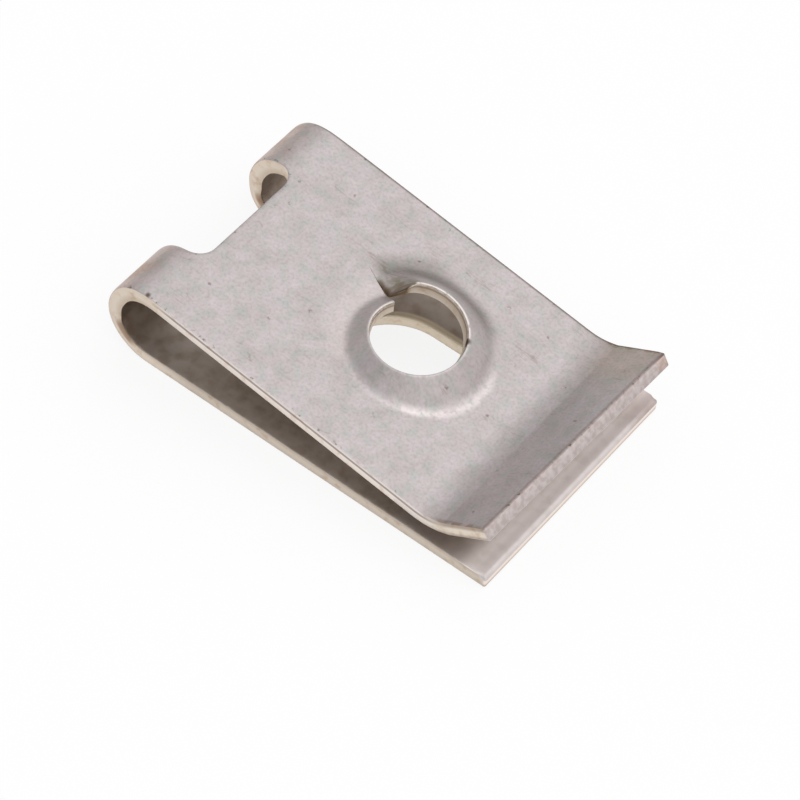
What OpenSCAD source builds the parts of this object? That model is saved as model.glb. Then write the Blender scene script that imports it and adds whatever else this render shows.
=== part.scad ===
// Captive nut: one strip of spring steel folded into a clip that slides over the edge of a panel.
// The upper leg carries a split conical boss whose rim climbs one turn and takes the screw's thread.
// The origin is the middle of the screw slot on the underside of the lower leg.
// +X runs to the open end, +Z goes up through the boss.

/* [Strip] */
// Thickness of the spring steel
sheet_t = 0.75; // [0.5:0.05:0.9]
// Width of the strip, across the fold
strip_w = 14.3; // [12.5:0.1:24]

/* [Legs] */
// From the screw axis back to the outside of the fold
fold_reach = 13.2; // [11:0.1:20]
// From the screw axis to the tip of the lower leg
lower_reach = 10.3; // [8:0.1:16]
// From the middle of the boss to the start of the lip's bend, along the upper leg
hole_to_lip = 5.65; // [5.2:0.05:10]
// Corner radius at the tips of both legs
tip_corner_r = 0.1; // [0.1:0.05:1.2]

/* [Fold] */
// Outer radius of the fold
fold_r = 2.54; // [2.2:0.02:3.6]
// Free gap between the legs at the throat, where the panel is gripped
throat_gap = 1; // [0.6:0.05:1.6]

/* [Fold notch] */
// Width of the window that splits the fold into two loops
notch_w = 7.4; // [3:0.1:9]
// Corner radius of the window
notch_corner_r = 1; // [0.3:0.05:1.4]
// How far the window runs past the fold into each leg
notch_depth = 0.05; // [0.02:0.01:0.8]

/* [Lip] */
// Rise of the lip above level, in degrees
lip_rise = 30; // [18:1:45]
// Inner radius of the lip's bend
lip_bend_r = 3; // [1.5:0.1:4]
// Straight length of the lip beyond its bend
lip_len = 2.65; // [1:0.05:5]

/* [Boss] */
// Diameter of the hole in the boss, at the screw's core
bore_d = 4.8; // [3.4:0.05:5.6]
// Climb of the rim in one full turn
thread_pitch = 1.55; // [0.8:0.05:2]
// Height of the rim's low end above the upper leg
rim_low = 0.62; // [0.4:0.02:1.2]
// Run of the flank from the hole to its foot at the rim's low end
flank_run_low = 0.95; // [0.6:0.05:1.4]
// Run of the flank from the hole to its foot at the rim's high end
flank_run_high = 2.5; // [1.8:0.05:2.8]
// Share of the flank's run that is the fillet at its foot
foot_share = 0.36; // [0.1:0.02:0.8]
// Direction of the slit, in degrees from the open end
slit_angle = 155; // [90:1:200]
// Width of the slit
slit_w = 0.1; // [0.05:0.01:0.3]
// Opening of the slit at the rim, in degrees of turn
slit_open = 10; // [2:1:16]
// How far out from the rim the torn end stands free of the slit
slit_open_run = 0.6; // [0.4:0.05:0.9]
// Stretch before the slit where the high end is drawn down to it, in degrees of turn
torn_turn = 28; // [18:1:40]
// The same stretch at the rim, where the drawn end stops short of the slit
torn_rim_turn = 8; // [4:1:16]
// Thickness that the drawn sheet is left with at the slit
torn_t = 0.1; // [0.1:0.02:0.4]

/* [Screw slot] */
// Outside diameter of the screw
screw_d = 6.3; // [4:0.1:7]
// Play of the screw across the slot
slot_play = 0.5; // [0.2:0.05:1.2]
// Extra length of the slot along the strip
slot_travel = 1.6; // [0.4:0.1:3]

/* [Hidden] */
$fn = 96;
plated_steel = "#C6C1BF";
past = 1; // how far a cut runs past what it cuts
seam = 0.004; // how far the inner round of the fold goes over, so that it crosses the legs' faces

fold_inner_r = fold_r - sheet_t;
hole_s = fold_reach - fold_r;
bend_s = hole_s + hole_to_lip;

// The upper leg slopes down until the underside of the lip's bend leaves the throat gap.
bend_height = 2 * sheet_t + throat_gap + lip_bend_r - fold_r;
bend_arm = norm([bend_s, fold_r + lip_bend_r]);
upper_slope = acos(bend_height / bend_arm) - atan2(bend_s, fold_r + lip_bend_r);

// Side view: directions along and square to the upper leg and the lip, and the centres of the two bends.
leg_dir = [cos(upper_slope), -sin(upper_slope)];
leg_up = [sin(upper_slope), cos(upper_slope)];
lip_dir = [cos(lip_rise), sin(lip_rise)];
lip_up = [-sin(lip_rise), cos(lip_rise)];
fold_c = [-hole_s, fold_r];
bend_c = fold_c + bend_s * leg_dir + (fold_r + lip_bend_r) * leg_up;
lip_tip = bend_c - lip_bend_r * lip_up + lip_len * lip_dir;

bore_r = bore_d / 2;
boss_r = bore_r + flank_run_high;
boss_lap = 0.3; // how far the boss runs into its leg, and into the hole before the hole is cut
slot_r = (screw_d + slot_play) / 2;

turn_steps = 94;
torn_steps = 14; // the last of them, close together on the stretch that is drawn down
last_row = 7;
foot_slope = 1 / (1 - foot_share / 2);

// Moves to the start of the upper leg: the origin on its upper face, +X down its slope.
module on_upper_leg() {
    translate([fold_c.x, 0, fold_c.y])
        rotate([0, upper_slope, 0])
            translate([0, 0, fold_r])
                children();
}

// Moves to the tip of the lip: the origin on its upper face, +X on up its slope.
module on_lip_tip() {
    translate([lip_tip.x, 0, lip_tip.y])
        rotate([0, -lip_rise, 0])
            children();
}

// All that lies within the outer faces of the strip, seen from the side.
module outer_side() {
    mouth = sheet_t + throat_gap / 2;
    difference() {
        union() {
            translate(fold_c)
                circle(fold_r);
            polygon([
                fold_c, [fold_c.x, 0], [lower_reach, 0], [lower_reach, mouth],
                lip_tip - mouth * lip_up, lip_tip, bend_c - lip_bend_r * lip_up, bend_c,
                bend_c - lip_bend_r * leg_up, fold_c + fold_r * leg_up
            ]);
        }
        translate(bend_c)
            circle(lip_bend_r);
    }
}

// The space between the legs, seen from the side and open beyond their tips.
module inner_side() {
    under_r = lip_bend_r + sheet_t;
    difference() {
        union() {
            translate(fold_c)
                circle(fold_inner_r + seam);
            polygon([
                fold_c, [fold_c.x, sheet_t], [lower_reach + past, sheet_t],
                lip_tip + past * lip_dir - sheet_t * lip_up, bend_c - under_r * lip_up, bend_c,
                bend_c - under_r * leg_up, fold_c + fold_inner_r * leg_up
            ]);
        }
        translate(bend_c)
            circle(under_r);
    }
}

// The strip with its fold and its lip, before anything is cut.
module folded_strip() {
    translate([0, strip_w / 2, 0])
        rotate([90, 0, 0])
            linear_extrude(strip_w)
                difference() {
                    outer_side();
                    inner_side();
                }
}

// What a round corner of the given radius leaves off: a block past the corner's centre, less the round.
module corner_waste(r, side, height) {
    reach = r + past;
    difference() {
        translate([0, side < 0 ? -reach : 0, 0])
            cube([reach, reach, height]);
        translate([0, 0, -past])
            cylinder(h = height + 2 * past, r = r);
    }
}

// One leg's half of the fold window, square to the leg and with round inner corners.
module window_half(height, past_middle) {
    back = fold_r + past;
    full = height + past_middle;
    difference() {
        translate([-back, -notch_w / 2, -past_middle])
            cube([back + notch_depth, notch_w, full]);
        for (side = [-1, 1])
            translate([notch_depth - notch_corner_r, side * (notch_w / 2 - notch_corner_r), -past_middle - past])
                corner_waste(notch_corner_r, side, full + 2 * past);
    }
}

// The window through the fold, cut from both legs to a little past the fold's middle.
module fold_notch() {
    past_middle = fold_r * tan(upper_slope) + sheet_t / 4;
    translate([fold_c.x, 0, fold_c.y]) {
        mirror([0, 0, 1])
            window_half(fold_r + past, past_middle);
        rotate([0, upper_slope, 0])
            window_half(fold_r + past, past_middle);
    }
}

// The round-ended slot in the lower leg that the screw passes through.
module screw_slot() {
    translate([0, 0, -past]) {
        for (end = [-1, 1])
            translate([end * slot_travel / 2, 0, 0])
                cylinder(h = sheet_t + 1.5 * past, r = slot_r);
        translate([-slot_travel / 2, -slot_r, 0])
            cube([slot_travel, 2 * slot_r, sheet_t + 1.5 * past]);
    }
}

// What comes off the two corners of a leg's tip, whose end is at the origin and whose sheet is below it.
module tip_corners() {
    for (side = [-1, 1])
        translate([-tip_corner_r, side * (strip_w / 2 - tip_corner_r), -sheet_t - past / 2])
            corner_waste(tip_corner_r, side, sheet_t + past);
}

// Height of the flank over the leg as a share of the rim's height: a cone that ends in a fillet.
function flank(share) =
    share >= 1 ? 0 :
    share > 1 - foot_share ? foot_slope * pow(1 - share, 2) / (2 * foot_share) :
    foot_slope * (1 - foot_share / 2 - share);

// Radius of a row of points for a flank of the given run.
// The rows are the core inside the hole, the middle of the flank, the fillet and a flat ring.
function row_r(row, run) =
    row == 0 ? bore_r - boss_lap :
    row == 1 ? (row_r(0, run) + row_r(2, run)) / 2 :
    row == last_row ? boss_r + boss_lap :
    bore_r + run * (1 - foot_share * (last_row - 1 - row) / (last_row - 3));

// Share of the turn at a step.
function turn_at(step) =
    let (
        even_steps = turn_steps - torn_steps,
        torn_share = torn_turn / 360
    )
    step <= even_steps ? (1 - torn_share) * step / even_steps :
    1 - torn_share * (turn_steps - step) / torn_steps;

// Point of the boss at a share of the turn and a row, on its upper face or its underside.
// The rim climbs one pitch. Its high end is drawn down thin to the slit, and stands free of it at the rim.
function boss_point(turn, row, under) =
    let (
        run = flank_run_low + (flank_run_high - flank_run_low) * turn,
        r = row_r(row, run),
        height = (rim_low + thread_pitch * turn) * flank((r - bore_r) / run),
        free = max(0, 1 - (r - bore_r) / slit_open_run),
        torn_width = torn_turn + (torn_rim_turn - torn_turn) * min(free, 1),
        torn = pow(max(0, 1 - (1 - turn) * 360 / torn_width), 2),
        low = rim_low * flank((r - bore_r) / flank_run_low),
        end_height = low + (height - sheet_t + torn_t - low) * free,
        thin = torn * min(max((boss_r - r) / flank_run_low, 0), 1) * (1 - torn_t / sheet_t),
        gap = slit_w / r * 180 / PI + slit_open * free,
        angle = slit_angle + (360 - gap) * turn
    )
    [
        r * cos(angle),
        r * sin(angle),
        height + (end_height - height) * torn - (under ? sheet_t * (1 - thin) : 0)
    ];

// The split cone, a formed sheet whose rim is one turn of thread.
module split_cone() {
    face_points = (turn_steps + 1) * (last_row + 1);
    points = [
        for (under = [false, true], step = [0 : turn_steps], row = [0 : last_row])
            boss_point(turn_at(step), row, under)
    ];
    top = function (step, row) step * (last_row + 1) + row;
    under = function (step, row) face_points + top(step, row);
    quads = [
        for (step = [0 : turn_steps - 1], row = [0 : last_row - 1]) each [
            [top(step, row), top(step + 1, row), top(step + 1, row + 1), top(step, row + 1)],
            [under(step, row), under(step, row + 1), under(step + 1, row + 1), under(step + 1, row)]
        ],
        for (step = [0 : turn_steps - 1]) each [
            [top(step, 0), under(step, 0), under(step + 1, 0), top(step + 1, 0)],
            [top(step, last_row), top(step + 1, last_row), under(step + 1, last_row), under(step, last_row)]
        ],
        for (row = [0 : last_row - 1]) each [
            [top(0, row), top(0, row + 1), under(0, row + 1), under(0, row)],
            [top(turn_steps, row), under(turn_steps, row), under(turn_steps, row + 1), top(turn_steps, row + 1)]
        ]
    ];
    triangles = [for (q = quads) each [[q[0], q[1], q[2]], [q[0], q[2], q[3]]]];
    polyhedron(points, triangles);
}

// Moves to the middle of the boss on the upper face of its leg, +Z along the thread.
module on_boss() {
    on_upper_leg()
        translate([hole_s, 0, 0])
            children();
}

// The whole clip.
module captive_nut() {
    color(plated_steel)
        difference() {
            union() {
                difference() {
                    folded_strip();
                    fold_notch();
                    screw_slot();
                    on_boss()
                        translate([0, 0, -sheet_t - past / 2])
                            cylinder(h = sheet_t + past, r = boss_r + boss_lap / 2);
                    translate([lower_reach, 0, sheet_t])
                        tip_corners();
                    on_lip_tip()
                        tip_corners();
                }
                on_boss()
                    split_cone();
            }
            on_boss()
                translate([0, 0, -sheet_t - past])
                    cylinder(h = sheet_t + rim_low + thread_pitch + 2 * past, r = bore_r);
        }
}

captive_nut();
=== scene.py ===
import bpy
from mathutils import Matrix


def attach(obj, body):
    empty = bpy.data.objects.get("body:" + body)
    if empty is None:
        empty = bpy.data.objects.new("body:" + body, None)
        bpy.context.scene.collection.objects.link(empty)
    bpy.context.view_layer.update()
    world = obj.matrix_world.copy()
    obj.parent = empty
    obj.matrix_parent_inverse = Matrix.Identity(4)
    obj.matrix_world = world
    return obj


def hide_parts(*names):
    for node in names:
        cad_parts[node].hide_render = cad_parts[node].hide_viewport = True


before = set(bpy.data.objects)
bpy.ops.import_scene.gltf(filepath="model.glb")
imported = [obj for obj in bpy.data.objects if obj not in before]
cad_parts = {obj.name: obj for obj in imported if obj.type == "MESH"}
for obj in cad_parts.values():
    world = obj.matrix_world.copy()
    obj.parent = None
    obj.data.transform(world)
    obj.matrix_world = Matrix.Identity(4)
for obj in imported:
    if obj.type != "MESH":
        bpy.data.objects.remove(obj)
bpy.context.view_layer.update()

import math

import bmesh
import bpy
from mathutils import Matrix, Vector

MM = 0.001

# Sizes of the strip in millimetres, the same as the solid's
SHEET = 0.75
HALF_W = 7.15
FOLD_R = 2.54
FOLD_REACH = 13.2
LOWER_REACH = 10.3
HOLE_S = FOLD_REACH - FOLD_R
LOWER_LEN = LOWER_REACH + HOLE_S
TIP_CORNER_R = 0.1
THROAT = 1.0
WINDOW_HALF = 3.7
WINDOW_CORNER = 1.0
WINDOW_PAST = 0.05
LIP_RISE = math.radians(30)
LIP_BEND_R = 3.0
LIP_LEN = 2.65
HOLE_TO_LIP = 5.65
SLOT_R = 3.4
SLOT_SHIFT = 0.8

# Sizes of the split boss
BORE_R = 2.4
PITCH = 1.55
RIM_LOW = 0.62
RUN_LOW = 0.95
RUN_HIGH = 2.5
FOOT_SHARE = 0.36
SLIT_AT = math.radians(155)
SLIT_OPEN_RUN = 0.6
SLIT_W = 0.1
SLIT_END_R = 5.05
TORN_TURN = math.radians(28)
TORN_T = 0.1

# Small departures of this one clip from its design
BACK_CORNER_R = 0.14
WINDOW_SHIFT = 0.12
FOLD_BULGE = 0.1
BULGE_HALF = math.radians(39)
LOW_BULGE = 0.12
LOW_BULGE_AT = math.radians(50)
LOW_BULGE_HALF = math.radians(35)
LIP_CREASE = math.radians(6)
LIP_LIFT = math.radians(2.6)
LIP_TWIST = math.radians(1.8)
LIP_SKEW = 0.055
LIP_SHORT = 0.025
SLIT_OPEN = math.radians(8)
SLIT_HAIR_R = 4.2
SLIT_HAIR_RUN = 0.9
SLIT_HAIR_SHARE = 0.15
SLIT_END_RUN = 0.3
TORN_RIM_TURN = math.radians(13)
RIM_TAPER = 0.16

# The upper leg slopes down until the underside of the lip's bend leaves the throat gap
BEND_S = HOLE_S + HOLE_TO_LIP
BEND_HEIGHT = 2 * SHEET + THROAT + LIP_BEND_R - FOLD_R
BEND_ARM = math.hypot(BEND_S, FOLD_R + LIP_BEND_R)
SLOPE = math.acos(BEND_HEIGHT / BEND_ARM) - math.atan2(BEND_S, FOLD_R + LIP_BEND_R)
BEND_X = -HOLE_S + BEND_S * math.cos(SLOPE) + (FOLD_R + LIP_BEND_R) * math.sin(SLOPE)
BEND_Z = FOLD_R - BEND_S * math.sin(SLOPE) + (FOLD_R + LIP_BEND_R) * math.cos(SLOPE)

# Places along the flat blank, measured on its outer face from where the lower leg meets the fold
FOLD_END = FOLD_R * (math.pi + SLOPE)
BOSS_S = FOLD_END + HOLE_S
LIP_BEND_START = FOLD_END + BEND_S
LIP_START = LIP_BEND_START + LIP_BEND_R * (SLOPE + LIP_RISE)
BLANK_END = LIP_START + LIP_LEN
WINDOW_END = FOLD_END + WINDOW_PAST
PATCH_HALF = 5.6
BOSS_RING_R = 5.2

# Cells of the mesh on plain stretches, on tight bends and along the loops, and the play in finding a point
CELL = 0.2
TIGHT_CELL = 0.1
LOOP_CELL = 0.16
TOUCH = 1e-4

# Places of the painted highlight round the boss's foot, the nick at the fold and the chip on the rim
FOOT_R = 3.25
FOOT_LEAN = 0.22
NICK = (FOLD_END - 0.5, 0.1 - HALF_W, 0)
CHIP_AT = math.radians(35)
CHIP = (BOSS_S + BORE_R * math.cos(CHIP_AT), BORE_R * math.sin(CHIP_AT), -0.14)

# Widths and depths of the edges: rolled over by the punch outside, barely rounded or burred inside
ROLL = 0.26
ROLL_DROP = 0.02
FOLD_ROLL_DROP = 0.07
RIM_ROUND = 0.13
INNER_ROUND = 0.06
INNER_DROP = 0.045
INNER_RIM_ROUND = 0.05
INNER_RIM_DROP = 0.04
TIP_ROUND = 0.24
TIP_DROP = 0.245
SLOT_ROUND = 0.26
SLOT_DROP = 0.105
BURR = 0.12
LEG_BURR = -0.035
BURR_W = 0.12
BURR_START = 2.4
BURR_EASE = 1.4
BURR_FADE = 3
LEG_BURR_LEAD = 2
LEG_BURR_EASE = 2.5
ROLL_STEPS = [ROLL * (1 - math.cos(math.radians(22.5 * k))) for k in range(5)]


def spread(start, end, size):
    """Even places after start, up to and with end, about size apart."""
    count = max(1, round(abs(end - start) / size))
    return [start + (end - start) * (k + 1) / count for k in range(count)]


# Columns of the blank across its half width: plain in the middle, close together at the fold's
# loops and at the sheared side edge
FLOOR_HALF = WINDOW_HALF - WINDOW_CORNER
HALF_COLUMNS = spread(0, FLOOR_HALF, CELL)
HALF_COLUMNS += [FLOOR_HALF + d for d in ROLL_STEPS[1:]]
HALF_COLUMNS += spread(HALF_COLUMNS[-1], HALF_W - ROLL, CELL)
HALF_COLUMNS += [HALF_W - d for d in reversed(ROLL_STEPS[:-1])]
COLUMNS = [-v for v in reversed(HALF_COLUMNS)] + [0.0] + HALF_COLUMNS
ALONG = 56
SPOKES = 2 * (len(COLUMNS) - 1 + ALONG)
SLIT_SPOKE = math.floor(SLIT_AT / math.tau * SPOKES)
SPOKE_TURN = SLIT_AT - math.tau * SLIT_SPOKE / SPOKES


def patch_edge(centre, inset):
    """Places round the stretch of blank about a hole, one for each spoke, from the middle of its far end."""
    far = PATCH_HALF - inset
    side = 1 - inset / HALF_W
    half = len(COLUMNS) // 2
    across = [v * side for v in COLUMNS]
    along = [far * (1 - 2 * k / ALONG) for k in range(ALONG + 1)]
    places = [(far, v) for v in across[half:]]
    places += [(s, HALF_W - inset) for s in along[1:]]
    places += [(-far, v) for v in reversed(across[:-1])]
    places += [(-s, -HALF_W + inset) for s in along[1:]]
    places += [(far, v) for v in across[1:half]]
    return [Vector((centre + s, v, 0)) for s, v in places]


def ring(centre, r):
    """Places round a circle on the blank, one for each spoke."""
    turns = [SPOKE_TURN + math.tau * k / SPOKES for k in range(SPOKES)]
    return [Vector((centre + r * math.cos(a), r * math.sin(a), 0)) for a in turns]


def slot_edge(centre, out):
    """Places round the screw slot, or round a line that runs a little outside its edge."""
    r = SLOT_R + out
    around = math.tau * r + 4 * SLOT_SHIFT
    quarter = math.pi * r / 2
    places = []
    for k in range(SPOKES):
        run = around * k / SPOKES
        if run < quarter:
            a, shift = run / r, SLOT_SHIFT
        elif run < quarter + 2 * SLOT_SHIFT:
            a, shift = math.pi / 2, SLOT_SHIFT - (run - quarter)
        elif run < 3 * quarter + 2 * SLOT_SHIFT:
            a, shift = (run - 2 * SLOT_SHIFT) / r, -SLOT_SHIFT
        elif run < 3 * quarter + 4 * SLOT_SHIFT:
            a, shift = 1.5 * math.pi, run - 3 * quarter - 3 * SLOT_SHIFT
        else:
            a, shift = (run - 4 * SLOT_SHIFT) / r, SLOT_SHIFT
        places.append(Vector((centre + shift + r * math.cos(a), r * math.sin(a), 0)))
    return places


def between(inner, outer, count):
    """Rings that change evenly from one to the other, the outer one included."""
    shares = [(k + 1) / count for k in range(count)]
    return [[a.lerp(b, share) for a, b in zip(inner, outer)] for share in shares]


def pick_edges(piece, wanted):
    """In edit mode, selects just the edges that are wanted."""
    bpy.ops.mesh.select_mode(type="EDGE")
    bpy.ops.mesh.select_all(action="DESELECT")
    mesh = bmesh.from_edit_mesh(piece.data)
    for edge in mesh.edges:
        if wanted(edge):
            edge.select_set(True)
    bmesh.update_edit_mesh(piece.data)


def put_selected(piece, place):
    """In edit mode, puts each selected point where place says."""
    mesh = bmesh.from_edit_mesh(piece.data)
    spoke = mesh.verts.layers.int["spoke"]
    for point in mesh.verts:
        if point.select:
            point.co = place(point.co, point[spoke])
    bmesh.update_edit_mesh(piece.data)


def punched_patch(name, rings):
    """Starts a stretch of blank from the edge of its hole, and grows it ring by ring, still in edit mode."""
    bpy.ops.object.select_all(action="DESELECT")
    bpy.ops.mesh.primitive_circle_add(vertices=SPOKES, radius=BORE_R, fill_type="NOTHING")
    piece = bpy.context.object
    piece.name = name
    bpy.ops.object.mode_set(mode="EDIT")
    mesh = bmesh.from_edit_mesh(piece.data)
    spoke = mesh.verts.layers.int.new("spoke")
    mesh.verts.ensure_lookup_table()
    for k, point in enumerate(mesh.verts):
        point[spoke] = k
    bmesh.update_edit_mesh(piece.data)
    bpy.ops.mesh.select_all(action="SELECT")
    put_selected(piece, lambda co, k: rings[0][k])
    for places in rings[1:]:
        bpy.ops.mesh.extrude_edges_indiv()
        put_selected(piece, lambda co, k: places[k])
    return piece


def add_rows(piece, start, rows, wanted=lambda v: True):
    """Draws the strip's end at start out through the given rows, where its columns are wanted."""
    pick_edges(piece, lambda e: all(abs(p.co.x - start) < TOUCH and wanted(p.co.y) for p in e.verts))
    for row in rows:
        bpy.ops.mesh.extrude_edges_indiv()
        bpy.ops.transform.translate(value=(row - start, 0, 0))
        start = row


def loop_inside(s):
    """Half width of the window at a place along the fold, narrowed by its round corners."""
    near = min(WINDOW_END - s, s + WINDOW_PAST)
    if near >= WINDOW_CORNER:
        return WINDOW_HALF
    return FLOOR_HALF + math.sqrt(max(0, near * (2 * WINDOW_CORNER - near)))


def add_loops(piece, rows):
    """Draws the two loops of the fold out from the window's floor, along the round of its corners."""
    start = WINDOW_END
    pick_edges(piece, lambda e: all(
        abs(p.co.x - start) < TOUCH and abs(p.co.y) > FLOOR_HALF - TOUCH for p in e.verts))
    for row in rows:
        share = (HALF_W - loop_inside(row)) / (HALF_W - loop_inside(start))
        bpy.ops.mesh.extrude_edges_indiv()
        put_selected(piece, lambda co, k: Vector((
            row, math.copysign(HALF_W - (HALF_W - abs(co.y)) * share, co.y), 0)))
        start = row


def upper_blank():
    """The flat upper leg with its lip, the flange round its hole and the two loops of the fold."""
    radii = [BORE_R + d * RIM_ROUND / ROLL for d in ROLL_STEPS]
    radii += spread(radii[-1], SLIT_END_R, TIGHT_CELL) + [BOSS_RING_R]
    rings = [ring(BOSS_S, r) for r in radii]
    rings += between(rings[-1], patch_edge(BOSS_S, ROLL), 4)
    rings += [patch_edge(BOSS_S, d) for d in reversed(ROLL_STEPS[:-1])]
    piece = punched_patch("captive_nut_strip", rings)

    patch_end = BOSS_S + PATCH_HALF
    rows = spread(patch_end, LIP_BEND_START, CELL)
    rows += spread(LIP_BEND_START, LIP_START, TIGHT_CELL)
    rows += spread(LIP_START, BLANK_END - ROLL, CELL)
    add_rows(piece, patch_end, rows + [BLANK_END - d for d in reversed(ROLL_STEPS[:-1])])

    patch_start = BOSS_S - PATCH_HALF
    rows = spread(patch_start, WINDOW_END + ROLL, CELL)
    add_rows(piece, patch_start, rows + [WINDOW_END + d for d in reversed(ROLL_STEPS[:-1])])

    corner = [WINDOW_CORNER * (1 - math.cos(math.radians(7.5 * k))) for k in range(1, 13)]
    rows = [WINDOW_END - d for d in corner]
    rows += spread(WINDOW_END - WINDOW_CORNER, WINDOW_CORNER - WINDOW_PAST, LOOP_CELL)
    add_loops(piece, rows + [d - WINDOW_PAST for d in reversed([0] + corner[:-1])])
    bpy.ops.object.mode_set(mode="OBJECT")
    return piece


def lower_blank():
    """The flat lower leg with its screw slot."""
    rings = [slot_edge(-HOLE_S, d) for d in ROLL_STEPS]
    rings += between(rings[-1], patch_edge(-HOLE_S, ROLL), 8)
    rings += [patch_edge(-HOLE_S, d) for d in reversed(ROLL_STEPS[:-1])]
    piece = punched_patch("captive_nut_lower", rings)

    patch_end = -HOLE_S + PATCH_HALF
    rows = spread(patch_end, -WINDOW_PAST - ROLL, CELL)
    add_rows(piece, patch_end, rows + [-WINDOW_PAST - d for d in reversed(ROLL_STEPS[:-1])])

    patch_start = -HOLE_S - PATCH_HALF
    rows = spread(patch_start, -LOWER_LEN + ROLL, CELL)
    add_rows(piece, patch_start, rows + [d - LOWER_LEN for d in reversed(ROLL_STEPS[:-1])])
    bpy.ops.object.mode_set(mode="OBJECT")
    return piece


def slit_width(r):
    """Width of the slit at a radius: a hair line at its closed end, which opens towards the hole."""
    opening = SLIT_HAIR_SHARE + (1 - SLIT_HAIR_SHARE) * smooth((SLIT_HAIR_R - r) / SLIT_HAIR_RUN)
    return SLIT_W * opening * smooth((SLIT_END_R - r) / SLIT_END_RUN)


def slit_boss(piece):
    """In edit mode, parts the flange along the slit and opens it by the slit's width."""
    mesh = bmesh.from_edit_mesh(piece.data)
    spoke = mesh.verts.layers.int["spoke"]
    inside = [(p.co - Vector((BOSS_S, 0, 0))).length < SLIT_END_R + TOUCH for p in mesh.verts]
    mesh.verts.index_update()
    pick_edges(piece, lambda e: all(inside[p.index] and p[spoke] == SLIT_SPOKE for p in e.verts))
    bpy.ops.mesh.edge_split(type="EDGE")
    mesh = bmesh.from_edit_mesh(piece.data)
    spoke = mesh.verts.layers.int["spoke"]
    for point in mesh.verts:
        out = point.co - Vector((BOSS_S, 0, 0))
        if point[spoke] != SLIT_SPOKE or out.length > SLIT_END_R - TOUCH:
            continue
        beside = sum((f.calc_center_median() for f in point.link_faces), Vector()) / len(point.link_faces)
        low_end = out.cross(beside - point.co).z > 0
        turn = (1 if low_end else -1) * slit_width(out.length) / 2 / out.length
        point.co = Vector((BOSS_S, 0, 0)) + Matrix.Rotation(turn, 3, "Z") @ out
    bmesh.update_edit_mesh(piece.data)


def round_box(s, v, middle, half_len, half_w, corner):
    """Distance from a round-cornered rectangle on the blank, negative inside it."""
    a = abs(s - middle) - half_len + corner
    b = abs(v) - half_w + corner
    return math.hypot(max(a, 0), max(b, 0)) + min(max(a, b), 0) - corner


def tip_corner(v):
    """Radius of the tips' corners, which are worn rounder at the back than at the front."""
    return BACK_CORNER_R if v > 0 else TIP_CORNER_R


def to_edge(s, v):
    """Distance from a place on the blank to the nearest sheared edge, apart from the boss's hole."""
    return max(0, min(
        -round_box(s, v, (BLANK_END - LOWER_LEN) / 2, (BLANK_END + LOWER_LEN) / 2, HALF_W, tip_corner(v)),
        round_box(s, v, FOLD_END / 2, FOLD_END / 2 + WINDOW_PAST, WINDOW_HALF, WINDOW_CORNER),
        math.hypot(max(abs(s + HOLE_S) - SLOT_SHIFT, 0), v) - SLOT_R))


def quarter_round(distance, width, drop):
    """How far a face drops towards an edge that is rounded over a width."""
    if distance >= width:
        return 0
    return drop * (1 - math.sqrt(1 - (1 - max(distance, 0) / width) ** 2))


def rounded_tip(co):
    """Draws a point at a corner of either tip in to the corner's round."""
    middle = (BLANK_END - LOWER_LEN) / 2
    a = abs(co.x - middle) - (BLANK_END + LOWER_LEN) / 2 + tip_corner(co.y)
    b = abs(co.y) - HALF_W + tip_corner(co.y)
    if a <= 0 or b <= 0:
        return co
    share = max(a, b) / math.hypot(a, b)
    return Vector((co.x - math.copysign(a * (1 - share), co.x - middle),
                   co.y - math.copysign(b * (1 - share), co.y), co.z))


def smooth(share):
    """Eases a share in and out between 0 and 1."""
    share = min(max(share, 0), 1)
    return share * share * (3 - 2 * share)


def flank(share):
    """Height of the boss's flank as a share of its rim's height: a cone that ends in a fillet."""
    slope = 1 / (1 - FOOT_SHARE / 2)
    if share >= 1:
        return 0
    if share > 1 - FOOT_SHARE:
        return slope * (1 - share) ** 2 / (2 * FOOT_SHARE)
    return slope * (1 - FOOT_SHARE / 2 - share)


def on_boss(co):
    """Radius of a point of the flange, its share of the turn from the slit's low side, and how far it is free
    of the slit and torn, both as shares."""
    out = co - Vector((BOSS_S, 0, co.z))
    r = out.length
    turn = (math.atan2(out.y, out.x) - SLIT_AT) % math.tau
    closed = slit_width(r) / r
    turn = min(max((turn - closed / 2) / (math.tau - closed), 0), 1)
    free = max(0, 1 - (r - BORE_R) / SLIT_OPEN_RUN)
    width = TORN_TURN + (TORN_RIM_TURN - TORN_TURN) * free
    torn = max(0, 1 - (1 - turn) * math.tau / width) ** 2 if r < SLIT_END_R else 0
    return r, turn, free, torn


def formed(co):
    """Raises a point of the flange into the split boss, whose rim climbs one pitch in a turn.
    Its high end is drawn down thin to the slit, and torn free from it at the rim."""
    r, turn, free, torn = on_boss(co)
    if r > BOSS_RING_R - TOUCH:
        return co
    run = RUN_LOW + (RUN_HIGH - RUN_LOW) * turn
    height = (RIM_LOW + PITCH * turn) * flank((r - BORE_R) / run)
    low = RIM_LOW * flank((r - BORE_R) / RUN_LOW)
    low += (height - SHEET + TORN_T - low) * free
    thin = torn * smooth((SLIT_END_R - r) / RUN_LOW) * (1 - TORN_T / SHEET)
    closed = slit_width(r) / r
    angle = SLIT_AT + (math.tau - closed - SLIT_OPEN * free) * turn
    r += RIM_TAPER * co.z / SHEET * free
    return Vector((BOSS_S + r * math.cos(angle), r * math.sin(angle),
                   height + (low - height) * torn + co.z * (1 - thin)))


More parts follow.
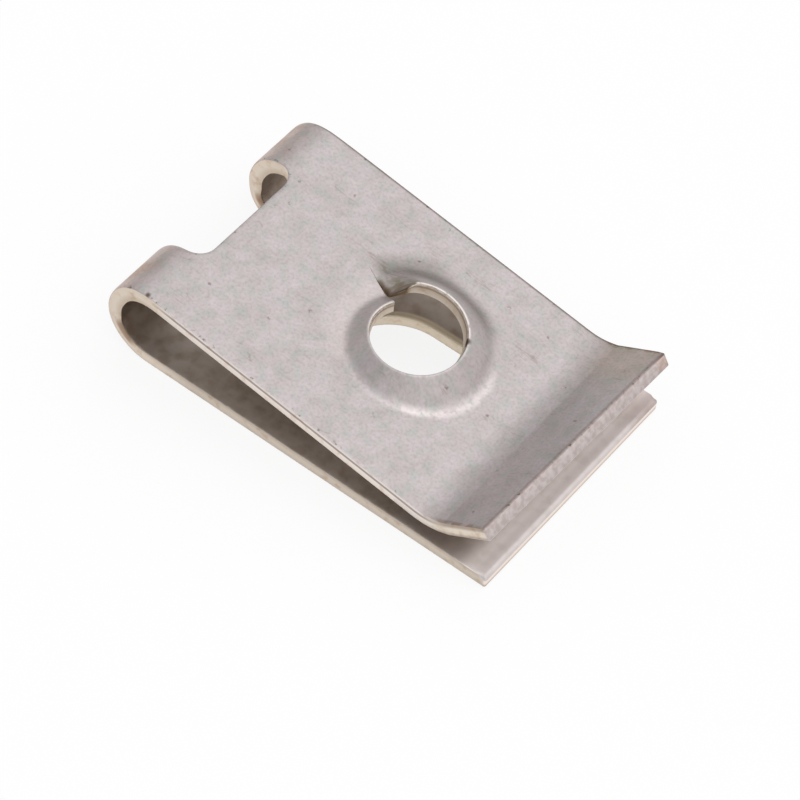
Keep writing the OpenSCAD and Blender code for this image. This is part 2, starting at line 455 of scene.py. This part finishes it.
def folded(co):
    """Bends a point of the flat blank to its place on the clip, in metres."""
    s, v, w = co
    over_window = smooth(min(s, FOLD_END - s) / WINDOW_CORNER + 1.5)
    v += WINDOW_SHIFT * over_window * min(1, (HALF_W - abs(v)) / (HALF_W - WINDOW_HALF))
    if s < 0:
        x, z = -HOLE_S - s, -w
    elif s < FOLD_END:
        turn = s / FOLD_R
        from_bulge = min(1, abs((FOLD_END - s) / FOLD_R / BULGE_HALF - 1))
        r = FOLD_R + w + FOLD_BULGE * math.cos(math.pi / 2 * from_bulge) ** 2
        from_bulge = min(1, abs(turn - LOW_BULGE_AT) / LOW_BULGE_HALF)
        r += LOW_BULGE * smooth(v / WINDOW_HALF) * math.cos(math.pi / 2 * from_bulge) ** 2
        x = -HOLE_S - r * math.sin(turn)
        z = FOLD_R - r * math.cos(turn)
    elif s < LIP_BEND_START:
        x = -HOLE_S + (s - FOLD_END) * math.cos(SLOPE) + (FOLD_R + w) * math.sin(SLOPE)
        z = FOLD_R - (s - FOLD_END) * math.sin(SLOPE) + (FOLD_R + w) * math.cos(SLOPE)
    else:
        lift = LIP_RISE + LIP_LIFT - LIP_TWIST * v / HALF_W
        r = (LIP_START - LIP_BEND_START) / (SLOPE + lift)
        turn = min((s - LIP_BEND_START) / r - SLOPE, lift)
        reach = max(0, s - LIP_START) * (1 - LIP_SHORT + LIP_SKEW * v / HALF_W)
        past_crease = turn - lift + LIP_CREASE
        if s < LIP_START and abs(past_crease) < LIP_CREASE:
            side = math.copysign(1, past_crease)
            turn = lift - LIP_CREASE + side * LIP_CREASE
            reach = (r - w) * math.tan(LIP_CREASE) * (past_crease / LIP_CREASE - side)
        x = BEND_X + (r - LIP_BEND_R) * math.sin(SLOPE) + (r - w) * math.sin(turn) + reach * math.cos(turn)
        z = BEND_Z + (r - LIP_BEND_R) * math.cos(SLOPE) - (r - w) * math.cos(turn) + reach * math.sin(turn)
    return Vector((x, v, z)) * MM


def pressed(co, edge, in_slot):
    """Height of a point of either face once its edges are rolled, rounded or burred."""
    rim = math.hypot(co.x - BOSS_S, co.y) - BORE_R
    if co.z > -SHEET / 2:
        on_leg = smooth((co.x - FOLD_END) / FOLD_R + 0.5) * smooth((BLANK_END - co.x) / ROLL / 2)
        drop = FOLD_ROLL_DROP + (ROLL_DROP - FOLD_ROLL_DROP) * on_leg
        return co.z - quarter_round(edge, ROLL, drop) - quarter_round(rim, RIM_ROUND, RIM_ROUND)
    at_tip = smooth((2 * TIP_ROUND - LOWER_LEN - co.x) / TIP_ROUND)
    width = INNER_ROUND + (TIP_ROUND - INNER_ROUND) * at_tip + (SLOT_ROUND - INNER_ROUND) * in_slot
    drop = INNER_DROP + (TIP_DROP - INNER_DROP) * at_tip + (SLOT_DROP - INNER_DROP) * in_slot
    burred = smooth((co.x - BURR_START) / BURR_EASE) * smooth((LIP_BEND_START - co.x) / BURR_FADE)
    burr = BURR + (LEG_BURR - BURR) * smooth((co.x - FOLD_END + LEG_BURR_LEAD) / LEG_BURR_EASE)
    rounded = quarter_round(edge, width, drop) * (1 - burred)
    rounded += quarter_round(rim, INNER_RIM_ROUND, INNER_RIM_DROP)
    return co.z + rounded - burr * burred * max(0, 1 - edge / BURR_W)


def clip(finishes):
    """The whole clip: a punched blank of even thickness, with its boss formed and its fold and lip bent."""
    lower = lower_blank()
    strip = upper_blank()
    bpy.ops.object.select_all(action="DESELECT")
    lower.select_set(True)
    strip.select_set(True)
    bpy.context.view_layer.objects.active = strip
    bpy.ops.object.join()
    bpy.ops.object.mode_set(mode="EDIT")
    bpy.ops.mesh.select_all(action="SELECT")
    bpy.ops.mesh.remove_doubles(threshold=0.002)
    bpy.ops.mesh.normals_make_consistent(inside=False)
    mesh = bmesh.from_edit_mesh(strip.data)
    mesh.faces.ensure_lookup_table()
    if mesh.faces[0].normal.z < 0:
        bpy.ops.mesh.flip_normals()
    slit_boss(strip)
    bpy.ops.object.mode_set(mode="OBJECT")

    for finish in finishes:
        strip.data.materials.append(finish)
    bpy.ops.object.modifier_add(type="SOLIDIFY")
    wall = strip.modifiers[-1]
    wall.thickness = SHEET
    wall.offset = -1
    wall.material_offset_rim = 1
    wall.material_offset = 2
    bpy.ops.object.modifier_apply(modifier=wall.name)

    strip.data.attributes.remove(strip.data.attributes["spoke"])
    strip.data.attributes.new("blank", "FLOAT_VECTOR", "POINT")
    # Distance to the edge, torn share and slot share, which mask edge lines and also painted light and shade
    strip.data.attributes.new("edge_torn_slot", "FLOAT_VECTOR", "POINT")
    blank = strip.data.attributes["blank"].data
    edge_torn_slot = strip.data.attributes["edge_torn_slot"].data
    for point in strip.data.vertices:
        co = rounded_tip(point.co)
        edge = to_edge(co.x, co.y)
        in_slot = smooth(2 - abs(co.y) / SLOT_R) if abs(co.x + HOLE_S) < SLOT_R + 2 * SLOT_SHIFT else 0
        co.z = pressed(co, edge, in_slot)
        blank[point.index].vector = co
        r, _, _, torn = on_boss(co)
        edge_torn_slot[point.index].vector = edge, torn * smooth((SLIT_END_R - r) / RUN_LOW), in_slot
        point.co = folded(formed(co))
    bpy.ops.object.shade_smooth_by_angle(angle=math.radians(38))
    return strip


def linear(colour):
    """Linear red, green, blue and alpha of an sRGB hex colour."""
    parts = [int(colour[k:k + 2], 16) / 255 for k in (1, 3, 5)]
    return [c / 12.92 if c <= 0.04045 else ((c + 0.055) / 1.055) ** 2.4 for c in parts] + [1]


def add(tree, kind, links=None, stops=(), **settings):
    """Adds a node with its settings, its inputs by name or number, and the stops of a colour ramp."""
    made = tree.nodes.new(kind)
    for name, value in settings.items():
        setattr(made, name, value)
    for name, value in (links or {}).items():
        if isinstance(value, bpy.types.NodeSocket):
            tree.links.new(value, made.inputs[name])
        else:
            made.inputs[name].default_value = value
    if stops:
        bands = made.color_ramp.elements
        while len(bands) < len(stops):
            bands.new(0.5)
        for band, (place, colour) in zip(bands, stops):
            band.position = place
            band.color = linear(colour)
    return made


def coat(tree, under, colour, limits, how="MULTIPLY"):
    """Lays a colour, also an sRGB hex one, over another where each value goes from its start to its end."""
    share = None
    for value, start, end in limits:
        step = add(tree, "ShaderNodeMapRange", {0: value, 1: start, 2: end},
                   interpolation_type="SMOOTHSTEP").outputs[0]
        if share is not None:
            step = add(tree, "ShaderNodeMath", {0: share, 1: step}, operation="MULTIPLY").outputs[0]
        share = step
    over = linear(colour) if isinstance(colour, str) else colour
    mixed = add(tree, "ShaderNodeMix", {0: share, 6: under, 7: over}, data_type="RGBA", blend_type=how)
    return mixed.outputs[2]


def metal(name, noises):
    """Starts a metal: its material, tree and shader, its place on the flat blank in millimetres, its distance
    to the nearest edge with its torn and slot shares, and noises of the given feature size in millimetres and
    detail."""
    finish = bpy.data.materials.new(name)
    finish.use_nodes = True
    tree = finish.node_tree
    steel = tree.nodes["Principled BSDF"]
    steel.inputs["Metallic"].default_value = 1
    place = add(tree, "ShaderNodeAttribute", attribute_name="blank").outputs["Vector"]
    edge_torn_slot = add(tree, "ShaderNodeAttribute", attribute_name="edge_torn_slot").outputs["Vector"]
    edge_torn_slot = add(tree, "ShaderNodeSeparateXYZ", {0: edge_torn_slot}).outputs
    grains = []
    for size, detail in noises:
        grain = add(tree, "ShaderNodeTexNoise", {"Vector": place, "Scale": 1 / size, "Detail": detail})
        grains.append(grain.outputs[0])
    return finish, tree, steel, place, edge_torn_slot, grains


def plated_face():
    """Dull zinc plate on cold-rolled spring steel.
    The eye sees a soft grey sheen with pinkish and greenish clouds, a fine grain, a few dark pits and hair
    scratches, a brown film over the fold and a brown line along the sheared edges."""
    noises = (0.16, 3), (0.3, 3), (0.35, 3), (0.4, 3), (0.6, 3), (0.9, 2), (1.6, 4)
    finish, tree, steel, place, (edge, torn, _), grains = metal("zinc_plated_spring_steel", noises)
    fine, speck, gap, film, mottle, dent, cloud = grains
    along, across, _ = add(tree, "ShaderNodeSeparateXYZ", {0: place}).outputs

    # Clouds and grain
    tones = (0.34, "#CEC4C6"), (0.52, "#C8C1C1"), (0.68, "#C0C0BE")
    colour = add(tree, "ShaderNodeValToRGB", {0: mottle}, tones).outputs[0]
    colour = coat(tree, colour, "#F7F7F5", [(cloud, 0.4, 0.64)])
    colour = coat(tree, colour, "#F3EFEE", [(fine, 0.4, 0.75)])

    # Pits, 4.4 mm apart, and hair scratches
    cell = add(tree, "ShaderNodeTexVoronoi", {"Vector": place, "Scale": 1 / 4.4}, voronoi_dimensions="2D")
    colour = coat(tree, colour, "#D2CAC6", [(cell.outputs["Distance"], 0.03, 0.01), (fine, 0.42, 0.52)])
    drawn = add(tree, "ShaderNodeMapping", {0: place, "Rotation": (0, 0, 0.5), "Scale": (0.12, 1.1, 1)})
    streak = add(tree, "ShaderNodeTexNoise", {"Vector": drawn.outputs[0], "Scale": 1, "Detail": 2})
    hair = add(tree, "ShaderNodeMath", {0: streak.outputs[0], 1: 0.5, 2: 0.004}, operation="COMPARE")
    colour = coat(tree, colour, "#EEE9E6", [(hair.outputs[0], 0, 1), (cloud, 0.52, 0.6)])

    # Warm film over the fold, with brown clouds
    on_fold = [(along, FOLD_END - 0.4, FOLD_END - 2.8), (along, 0.5, 3.5)]
    colour = coat(tree, colour, "#FBEDE3", on_fold)
    colour = coat(tree, colour, "#403B37", on_fold, "ADD")
    colour = coat(tree, colour, "#F5E9DE", on_fold + [(cloud, 0.46, 0.66)])

    # Lip, warmer at the back and dull at its end, and brown specks and lines along the edges
    on_lip = [(along, LIP_BEND_START + 0.4, LIP_START), (along, BLANK_END, BLANK_END - 0.5)]
    colour = coat(tree, colour, "#FBF4EA", on_lip + [(across, 3, 6)])
    colour = coat(tree, colour, "#E4DCD8", [(along, BLANK_END - 0.3, BLANK_END - 0.1)])
    colour = coat(tree, colour, "#B8ACA4", [(edge, 0.2, 0.06), (speck, 0.6, 0.7)])
    at_back = [(across, 6, 7), (along, FOLD_END - 3, FOLD_END)]
    colour = coat(tree, colour, "#BAB2AD", at_back + [(edge, 0.16, 0.04)])
    colour = coat(tree, colour, "#E2D2C4", on_lip + [(edge, 0.3, 0.1), (film, 0.36, 0.56)])

    # Ways out from the boss's hole: to the far side, to the left, to the near side and across the slit
    out = add(tree, "ShaderNodeVectorMath", {0: place, 1: (BOSS_S, 0, 0)}, operation="SUBTRACT").outputs[0]
    from_hole = add(tree, "ShaderNodeVectorMath", {0: out}, operation="LENGTH").outputs["Value"]
    ways = (-0.54, 0.84, 0), (-0.84, -0.54, 0), (0.87, -0.5, 0), (math.sin(SLIT_AT), -math.cos(SLIT_AT), 0)
    far, left, near, from_slit = [
        add(tree, "ShaderNodeVectorMath", {0: out, 1: way}, operation="DOT_PRODUCT").outputs["Value"]
        for way in ways]

    # Torn slope: painted light lifts it, then a mottled olive tint darkens it, partly painted shade; and
    # painted shade along the slit
    by_slit = [(from_slit, -0.06, 0), (along, BOSS_S, BOSS_S - 1)]
    stain_and_shading = by_slit + [(from_slit, 1.4, 0.5), (from_hole, BORE_R + 1.9, BORE_R + 0.9)]
    colour = coat(tree, colour, "#3A372E", stain_and_shading, "ADD")
    colour = coat(tree, colour, "#D0CAB4", stain_and_shading + [(film, 0.3, 0.56)])
    # Painted shade along the slit
    colour = coat(tree, colour, "#9E9386", by_slit + [(from_slit, 0.28, 0.06), (from_hole, 4.4, 3.9)])

    # Painted shade on the foot beyond the slit and on the back of the flank, and painted light on the near
    # left of the flank
    foot = [(from_slit, 0, 0.6), (from_slit, 4.6, 2.4), (from_hole, 3.9, 4.5), (from_hole, 5.8, 4.8)]
    colour = coat(tree, colour, "#D2D2CD", foot + [(along, BOSS_S + 0.5, BOSS_S - 1)])
    on_flank = [(from_hole, BORE_R + 2.5, BORE_R + 1.3)]
    colour = coat(tree, colour, "#D4D3CE", on_flank + [(across, 2.6, 3.8)])
    # Painted light on the near left of the flank
    colour = coat(tree, colour, "#443D37", on_flank + [(left, 0.8, 2.8), (far, -2, -0.8)], "ADD")

    # Painted highlight round the near side of the foot, wider where the boss is higher
    from_foot = add(tree, "ShaderNodeMath", {0: along, 1: -FOOT_LEAN, 2: from_hole},
                    operation="MULTIPLY_ADD").outputs[0]
    foot_at = FOOT_R - FOOT_LEAN * BOSS_S
    line = [(from_foot, foot_at - 0.35, foot_at), (from_foot, foot_at + 0.3, foot_at)]
    colour = coat(tree, colour, "#706C6A", line + [(near, 2.2, 3.3), (film, 0.32, 0.54)], "ADD")

    # Painted highlight, broken into pieces, on the far side of the rim
    on_rim = [(from_hole, BORE_R + 0.16, BORE_R + 0.04), (torn, 0.1, 0)]
    colour = coat(tree, colour, "#EAE2DC", on_rim + [(far, -1.2, 1.6), (gap, 0.34, 0.46)], "MIX")

    # Dark chip and nick
    for mark, reach, core, tone in ((CHIP, 0.28, 0.1, "#84786F"), (NICK, 0.2, 0.04, "#94877E")):
        apart = add(tree, "ShaderNodeVectorMath", {0: place, 1: mark}, operation="DISTANCE").outputs["Value"]
        colour = coat(tree, colour, tone, [(apart, reach, core)])
    tree.links.new(colour, steel.inputs["Base Color"])

    rough = add(tree, "ShaderNodeMapRange", {0: fine, 3: 0.4, 4: 0.52}).outputs[0]
    tree.links.new(rough, steel.inputs["Roughness"])
    dented = add(tree, "ShaderNodeBump", {"Height": dent, "Strength": 0.5, "Distance": 0.1 * MM}).outputs[0]
    uneven = add(tree, "ShaderNodeBump", {
        "Height": fine, "Strength": 0.5, "Distance": 0.02 * MM, "Normal": dented})
    tree.links.new(uneven.outputs[0], steel.inputs["Normal"])
    return finish


def sheared_edge():
    """The punched edge of the same plated steel.
    The eye sees a pale cream band, burnished by the punch, under a thin brown line, with a painted white
    highlight where the boss's rim is rounded, and painted shade low on the lip's band."""
    noises = (0.3, 3), (0.35, 3), (0.5, 4)
    finish, tree, steel, place, (_, torn, in_slot), grains = metal("sheared_plated_steel", noises)
    crumb, gap, stain_and_shading = grains
    along, across, height = add(tree, "ShaderNodeSeparateXYZ", {0: place}).outputs
    depth = add(tree, "ShaderNodeMapRange", {0: height, 1: 0, 2: -SHEET}).outputs[0]

    # Bands over the depth of the edge at the fold, the upper leg, the lip, the boss's rim and the lower tip
    fold_bands = (0.3, "#E4D6C7"), (0.6, "#E4D8CA"), (1, "#D2C2B0")
    leg_bands = (0.2, "#EAE2DE"), (0.28, "#AB9D93"), (0.4, "#AB9D93"), (0.48, "#F2E9E3"), (1, "#EADED4")
    # The lip's band darkens at its bottom as painted shade
    lip_bands = (0.2, "#B5A596"), (0.4, "#E8DDCF"), (0.7, "#E8DDCF"), (0.95, "#B4A494")
    # The rim's top band is a painted white highlight on its rounded edge
    rim_bands = (0.2, "#FFFFFF"), (0.3, "#E4D6C7"), (0.36, "#BDAA98"), (0.42, "#BDAA98"), (0.5, "#E4D8CA")
    tip_bands = (0.2, "#D8C3B2"), (0.4, "#F6EAE2")
    fold, leg, lip, rim, tip = [
        add(tree, "ShaderNodeValToRGB", {0: depth}, bands).outputs[0]
        for bands in (fold_bands, leg_bands, lip_bands, rim_bands, tip_bands)]

    # Fold and slot, darker and browner deep in the edge low on the fold
    colour = coat(tree, fold, "#EEEEEE", [(along, 0, -3)])
    colour = coat(tree, colour, "#DED1BE", [(in_slot, 0, 1)], "MIX")
    colour = coat(tree, colour, "#C3B1A3", [(along, 0.8, 1.6), (along, 3.4, 2.6), (depth, 0.35, 0.6)])
    colour = coat(tree, colour, leg, [(along, FOLD_END - 0.5, FOLD_END + 1.5)], "MIX")
    colour = coat(tree, colour, lip, [(along, LIP_BEND_START, LIP_START)], "MIX")

    # Rim with its painted highlight broken by gaps, brown where it is torn and dark at the chip
    ways = (BOSS_S, 0, 0), CHIP
    from_hole, from_chip = [
        add(tree, "ShaderNodeVectorMath", {0: place, 1: way}, operation="DISTANCE").outputs["Value"]
        for way in ways]
    on_rim = [(from_hole, BOSS_RING_R, BOSS_RING_R - 0.2)]
    colour = coat(tree, colour, rim, on_rim, "MIX")
    colour = coat(tree, colour, "#E0D6CD", on_rim + [(depth, 0.34, 0.2), (gap, 0.54, 0.44)])
    colour = coat(tree, colour, "#A8997F", [(torn, 0.3, 1)])
    colour = coat(tree, colour, "#7A6E66", [(from_chip, 0.32, 0.18)])
    colour = coat(tree, colour, "#EBE0D5", [(stain_and_shading, 0.5, 0.75)])

    # Grey, crumbled end of the lip, warmer at the back, and the lower tip
    on_end = [(along, BLANK_END - 0.2, BLANK_END - 0.05)]
    colour = coat(tree, colour, "#CCC2C0", on_end, "MIX")
    colour = coat(tree, colour, "#EAE5E3", on_end + [(crumb, 0.35, 0.65)])
    colour = coat(tree, colour, "#FBF0E8", on_end + [(across, 6, 6.7)])
    colour = coat(tree, colour, tip, [(along, 0.2 - LOWER_LEN, 0.05 - LOWER_LEN)], "MIX")
    tree.links.new(colour, steel.inputs["Base Color"])
    steel.inputs["Roughness"].default_value = 0.5
    return finish


def inner_face():
    """The side of the sheet that lies inside the clip.
    The eye sees pale steel at the open end, which goes darker and browner towards the fold as painted shade,
    with painted light just inside the tips and round the slot."""
    noises = (0.6, 4), (0.8, 4)
    finish, tree, steel, place, (edge, _, in_slot), grains = metal("inner_zinc_painted_shading", noises)
    mottle, cloud = grains
    along, across, _ = add(tree, "ShaderNodeSeparateXYZ", {0: place}).outputs

    # How far inside the clip a place lies: none at either tip, all of it 9 mm from both
    middle = (BLANK_END - LOWER_LEN) / 2
    from_middle = add(tree, "ShaderNodeMath", {0: along, 1: middle}, operation="SUBTRACT")
    from_middle = add(tree, "ShaderNodeMath", {0: from_middle.outputs[0]}, operation="ABSOLUTE")
    tip_at = (BLANK_END + LOWER_LEN) / 2
    inside = add(tree, "ShaderNodeMapRange", {0: from_middle.outputs[0], 1: tip_at, 2: tip_at - 9},
                 interpolation_type="SMOOTHSTEP").outputs[0]
    # Painted light and shade by depth inside the clip: brightest just inside the tips, where the lip's shadow
    # falls, and darker towards the fold
    tones = ((0, "#DAD2D0"), (0.012, "#ECE5E3"), (0.02, "#FAF4F2"), (0.04, "#FAF4F2"),
             (0.09, "#D8CFCB"), (0.15, "#C8BEB8"), (0.25, "#BEB3AB"), (0.5, "#CAC0B8"))
    colour = add(tree, "ShaderNodeValToRGB", {0: inside}, tones).outputs[0]
    # Less of that painted light at the back corner of the tips, where the lip casts little shadow
    colour = coat(tree, colour, "#E4DCDA", [(inside, 0.1, 0.04), (across, 4, 6.2)])
    colour = coat(tree, colour, "#F4F4F2", [(mottle, 0.4, 0.7)])
    # Painted shade inside the fold's bend
    colour = coat(tree, colour, "#CEC7C1", [(along, -2, 2), (along, FOLD_END + 2, FOLD_END - 2)])
    colour = coat(tree, colour, "#E8E1D9", [(cloud, 0.4, 0.7), (inside, 0.1, 0.5)])
    # Painted light round the slot, where light falls through the boss's hole onto the lower leg
    colour = coat(tree, colour, "#F2E8D2", [(edge, 0.4, 0.25), (in_slot, 0, 1)], "MIX")
    tree.links.new(colour, steel.inputs["Base Color"])
    steel.inputs["Roughness"].default_value = 0.55
    return finish


def studio():
    """A pale floor under a soft sky that is brightest overhead and to the right."""
    bpy.ops.object.select_all(action="DESELECT")
    bpy.ops.mesh.primitive_plane_add(size=6, location=(0, 0, -0.02 * MM))
    floor = bpy.context.object
    floor.name = "floor"
    paper = bpy.data.materials.new("white_paper")
    paper.use_nodes = True
    tree = paper.node_tree
    tree.nodes.clear()
    ray = add(tree, "ShaderNodeLightPath")
    seen = ray.outputs["Is Camera Ray"]
    for kind in ("Is Glossy Ray", "Is Transmission Ray"):
        seen = add(tree, "ShaderNodeMath", {0: seen, 1: ray.outputs[kind]}, operation="MAXIMUM").outputs[0]
    glow = 0.85
    share = add(tree, "ShaderNodeMath", {0: seen, 1: glow}, operation="MULTIPLY")
    plain = add(tree, "ShaderNodeBsdfDiffuse", {"Color": linear("#FAFAFA")})
    white = add(tree, "ShaderNodeEmission", {"Color": linear("#FFFFFF"), "Strength": 1})
    surface = add(tree, "ShaderNodeMixShader", {
        0: share.outputs[0], 1: plain.outputs[0], 2: white.outputs[0]})
    add(tree, "ShaderNodeOutputMaterial", {"Surface": surface.outputs[0]})
    floor.data.materials.append(paper)

    world = bpy.data.worlds.new("soft_sky")
    bpy.context.scene.world = world
    world.use_nodes = True
    tree = world.node_tree
    tree.nodes.clear()
    way = add(tree, "ShaderNodeTexCoord").outputs["Generated"]
    bright_side = (0.5, 0.22, 0.83)
    up = add(tree, "ShaderNodeVectorMath", {0: way, 1: bright_side}, operation="DOT_PRODUCT").outputs["Value"]
    sky = add(tree, "ShaderNodeValToRGB", {0: up})
    for band, level in zip(sky.color_ramp.elements, (0.53, 1.31)):
        band.color = (level, level, level, 1)
    light = add(tree, "ShaderNodeBackground", {"Color": sky.outputs[0], "Strength": 1.0})
    add(tree, "ShaderNodeOutputWorld", {"Surface": light.outputs[0]})

    lamp = bpy.data.lights.new("overhead_softbox", "SUN")
    lamp.energy = 0.12
    lamp.angle = math.radians(32)
    key = bpy.data.objects.new("overhead_softbox", lamp)
    key.rotation_euler = Vector((0.2, -0.1, 1)).to_track_quat("Z", "Y").to_euler()
    bpy.context.collection.objects.link(key)


def camera():
    """The photograph's own view of the clip: from the right and above, a little rolled."""
    turn, rise, roll = math.radians(32.44), math.radians(51.93), math.radians(6.57)
    back = Vector((math.sin(turn) * math.cos(rise), -math.cos(turn) * math.cos(rise), math.sin(rise)))
    right = Vector((math.cos(turn), math.sin(turn), 0))
    up = back.cross(right)
    right, up = math.cos(roll) * right + math.sin(roll) * up, math.cos(roll) * up - math.sin(roll) * right
    lens = bpy.data.cameras.new("camera")
    focal_px, picture_px = 3774.4, 800
    lens.sensor_width = 36
    lens.lens = focal_px / picture_px * lens.sensor_width
    lens.clip_start = 0.01
    lens.clip_end = 20
    seer = bpy.data.objects.new("camera", lens)
    aim = Vector((0.31, -0.79, 0)) * MM
    distance = 186.33 * MM
    place = aim + back * distance
    seer.matrix_world = Matrix((
        (right.x, up.x, back.x, place.x),
        (right.y, up.y, back.y, place.y),
        (right.z, up.z, back.z, place.z),
        (0, 0, 0, 1)))
    bpy.context.collection.objects.link(seer)
    bpy.context.scene.camera = seer


camera()
studio()
nut = clip([plated_face(), sheared_edge(), inner_face()])
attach(nut, "root")
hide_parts("captive_nut")

bpy.context.scene.view_settings.view_transform = "Standard"
